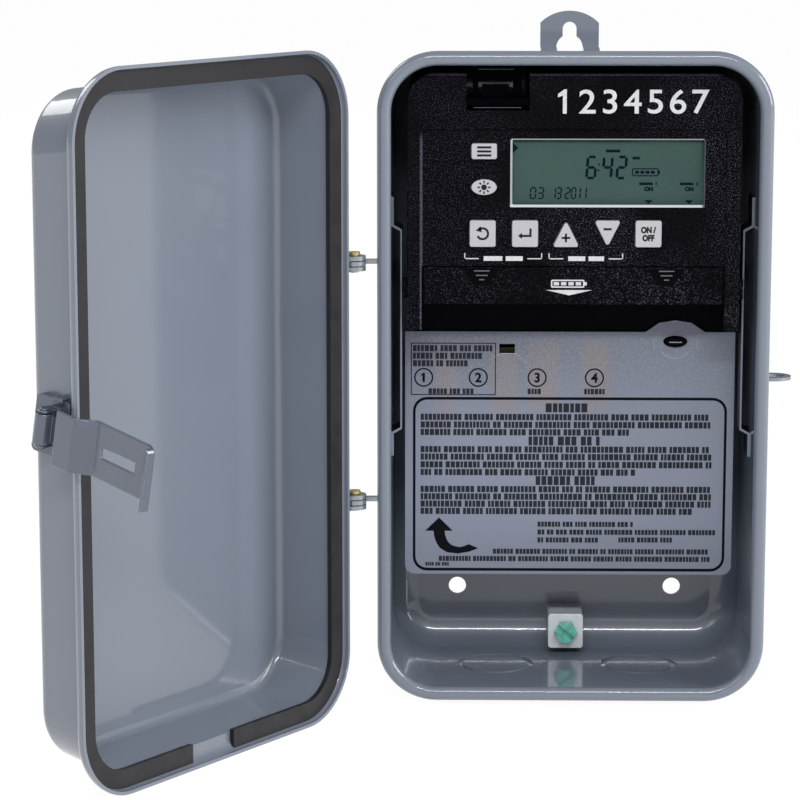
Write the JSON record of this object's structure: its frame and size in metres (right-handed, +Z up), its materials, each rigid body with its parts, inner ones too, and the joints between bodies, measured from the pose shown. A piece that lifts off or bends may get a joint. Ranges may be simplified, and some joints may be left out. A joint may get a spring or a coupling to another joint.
{
  "type": "seven-day timer",
  "caption": "Digital seven-day time switch in a small steel wall enclosure with its hinged door open, hasp latch, keypad, display, battery drawer and wiring insulator.",
  "frame": {"origin": "centre of the case's back face, on the wall", "axes": "+X to the right, +Y into the wall, +Z up"},
  "size_m": [0.2164, 0.1841, 0.2079],
  "materials": {
    "case_enamel": "gloss",
    "gasket_rubber": "matte",
    "zinc_steel": "satin",
    "latch_steel": "satin",
    "pin_steel": "satin",
    "lug_metal": "satin",
    "ground_green": "gloss",
    "bezel_black": "matte",
    "housing_black": "matte",
    "terminal_black": "matte",
    "terminal_metal": "satin",
    "key_ivory": "satin",
    "display_glass": "gloss",
    "display_green": "satin",
    "mat_rubber": "matte",
    "board_green": "gloss",
    "relay_plastic": "gloss",
    "transformer_iron": "matte",
    "cell_jacket": "gloss",
    "contact_steel": "satin",
    "insulator_film": "satin"
  },
  "bodies": {
    "case": {"case_shell": "case_enamel", "hanger_tab": "zinc_steel", "side_strap_left": "zinc_steel", "side_strap_right": "zinc_steel", "ground_lug": "lug_metal", "ground_screw": "ground_green", "hinge_tongue_upper": "zinc_steel", "hinge_tongue_lower": "zinc_steel", "hinge_pins": "pin_steel", "padlock_eye": "zinc_steel", "catch_bracket": "zinc_steel"},
    "door": {"door_shell": "case_enamel", "door_gasket": "gasket_rubber", "door_knuckle_upper": "zinc_steel", "door_knuckle_lower": "zinc_steel", "latch_bracket": "latch_steel", "latch_pin": "latch_steel"},
    "latch": {"latch_lever": "latch_steel"},
    "mechanism": {"front_bezel": "bezel_black", "rear_housing": "housing_black", "terminal_block": "terminal_black", "terminal_plates": "terminal_metal", "terminal_screws": "terminal_metal", "lcd_window": "display_glass", "lcd_module": "display_green", "keypad_mat": "mat_rubber", "circuit_board": "board_green", "relay": "relay_plastic", "transformer": "transformer_iron", "insulator_post": "terminal_black"},
    "release_catch": {"release_catch": "bezel_black"},
    "battery_drawer": {"battery_drawer": "bezel_black", "battery_cells": "cell_jacket", "battery_contacts": "contact_steel"},
    "insulator": {"insulator_sheet": "insulator_film"},
    "mode_key": {"mode_key": "key_ivory"},
    "day_key": {"day_key": "key_ivory"},
    "reset_key": {"reset_key": "key_ivory"},
    "enter_key": {"enter_key": "key_ivory"},
    "plus_key": {"plus_key": "key_ivory"},
    "minus_key": {"minus_key": "key_ivory"},
    "on_off_key": {"on_off_key": "key_ivory"}
  },
  "joints": [
    {"name": "door_hinge", "type": "hinge", "parent": "case", "child": "door", "pos_m": [-0.0654, -0.0578, 0], "axis": [0, 0, -1], "range_deg": [-124.84, 50]},
    {"name": "latch_swing", "type": "hinge", "parent": "door", "child": "latch", "pos_m": [-0.14538, -0.15589, 0.0045], "axis": [-0.1425, 0.0992, -0.9848], "range_deg": [-9, 100]},
    {"name": "mechanism_slide", "type": "slide", "parent": "case", "child": "mechanism", "axis": [0, -1, 0], "range_m": [0, 0.07]},
    {"name": "release_catch_slide", "type": "slide", "parent": "mechanism", "child": "release_catch", "axis": [0, 0, -1], "range_m": [0, 0.0012], "stiffness_N_per_m": 800},
    {"name": "battery_drawer_slide", "type": "slide", "parent": "mechanism", "child": "battery_drawer", "axis": [0, 0, 1], "range_m": [-0.014, 0]},
    {"name": "insulator_lift", "type": "hinge", "parent": "mechanism", "child": "insulator", "pos_m": [0, -0.0296, 0.0155], "axis": [-1, 0, 0], "range_deg": [0, 70]},
    {"name": "mode_key_press", "type": "slide", "parent": "mechanism", "child": "mode_key", "axis": [0, 1, 0], "range_m": [0, 0.0008], "stiffness_N_per_m": 600},
    {"name": "day_key_press", "type": "slide", "parent": "mechanism", "child": "day_key", "axis": [0, 1, 0], "range_m": [0, 0.0008], "stiffness_N_per_m": 600},
    {"name": "reset_key_press", "type": "slide", "parent": "mechanism", "child": "reset_key", "axis": [0, 1, 0], "range_m": [0, 0.0008], "stiffness_N_per_m": 600},
    {"name": "enter_key_press", "type": "slide", "parent": "mechanism", "child": "enter_key", "axis": [0, 1, 0], "range_m": [0, 0.0008], "stiffness_N_per_m": 600},
    {"name": "plus_key_press", "type": "slide", "parent": "mechanism", "child": "plus_key", "axis": [0, 1, 0], "range_m": [0, 0.0008], "stiffness_N_per_m": 600},
    {"name": "minus_key_press", "type": "slide", "parent": "mechanism", "child": "minus_key", "axis": [0, 1, 0], "range_m": [0, 0.0008], "stiffness_N_per_m": 600},
    {"name": "on_off_key_press", "type": "slide", "parent": "mechanism", "child": "on_off_key", "axis": [0, 1, 0], "range_m": [0, 0.0008], "stiffness_N_per_m": 600}
  ]
}
